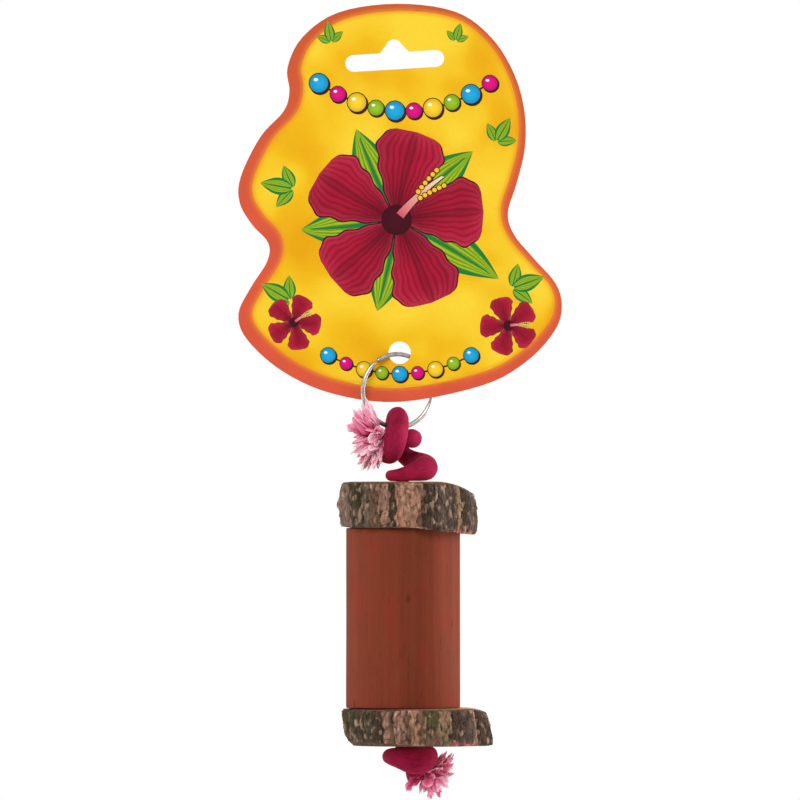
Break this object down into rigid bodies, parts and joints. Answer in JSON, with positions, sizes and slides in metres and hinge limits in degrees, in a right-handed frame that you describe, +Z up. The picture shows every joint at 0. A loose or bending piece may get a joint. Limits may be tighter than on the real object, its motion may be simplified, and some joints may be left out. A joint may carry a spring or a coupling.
{
  "type": "hanging wooden parrot toy",
  "caption": "Hanging bird toy: a stained round block between bark-edged branch slices on a knotted cotton rope, hung by a wire ring from a die-cut header card.",
  "frame": {"origin": "top of the header card's peg slot, where a display peg bears, in the middle of the card's thickness", "axes": "+Z up, along the toy's hanging line; +Y to the back of the card, so that the printed face looks towards -Y; +X to the right of the printed face"},
  "size_m": [0.104, 0.0467, 0.2571],
  "materials": {
    "card": "glossy coated board, printed",
    "wire": "plated steel wire",
    "rope": "soft dyed cotton",
    "fibre": "loose dyed cotton fibre",
    "raw_wood": "sawn, unfinished",
    "bark": "rough bark",
    "stained_wood": "matt terracotta stain"
  },
  "bodies": {
    "card": {"hang_card": "card"},
    "ring": {"tag_ring": "wire"},
    "rope": {"rope": "rope", "upper_frayed_end": "fibre", "lower_frayed_end": "fibre"},
    "upper_slice": {"upper_slice_wood": "raw_wood", "upper_slice_bark": "bark"},
    "block": {"block": "stained_wood"},
    "lower_slice": {"lower_slice_wood": "raw_wood", "lower_slice_bark": "bark"}
  },
  "joints": [
    {"name": "ring_swing", "type": "hinge", "parent": "card", "child": "ring", "pos_m": [0.002, 0, -0.1007], "axis": [0, 1, 0], "range_deg": [-15, 15]},
    {"name": "toy_swing", "type": "hinge", "parent": "ring", "child": "rope", "pos_m": [0.00125, -0.00027, -0.12467], "axis": [0.9397, 0.342, 0], "range_deg": [-60, 60]},
    {"name": "upper_slice_spin", "type": "hinge", "parent": "rope", "child": "upper_slice", "pos_m": [0.0031, 0, -0.15], "axis": [0, 0, 1], "continuous": true},
    {"name": "block_spin", "type": "hinge", "parent": "rope", "child": "block", "pos_m": [0.0031, 0, -0.186], "axis": [0, 0, 1], "continuous": true},
    {"name": "lower_slice_spin", "type": "hinge", "parent": "rope", "child": "lower_slice", "pos_m": [0.0031, 0, -0.22], "axis": [0, 0, 1], "continuous": true}
  ]
}
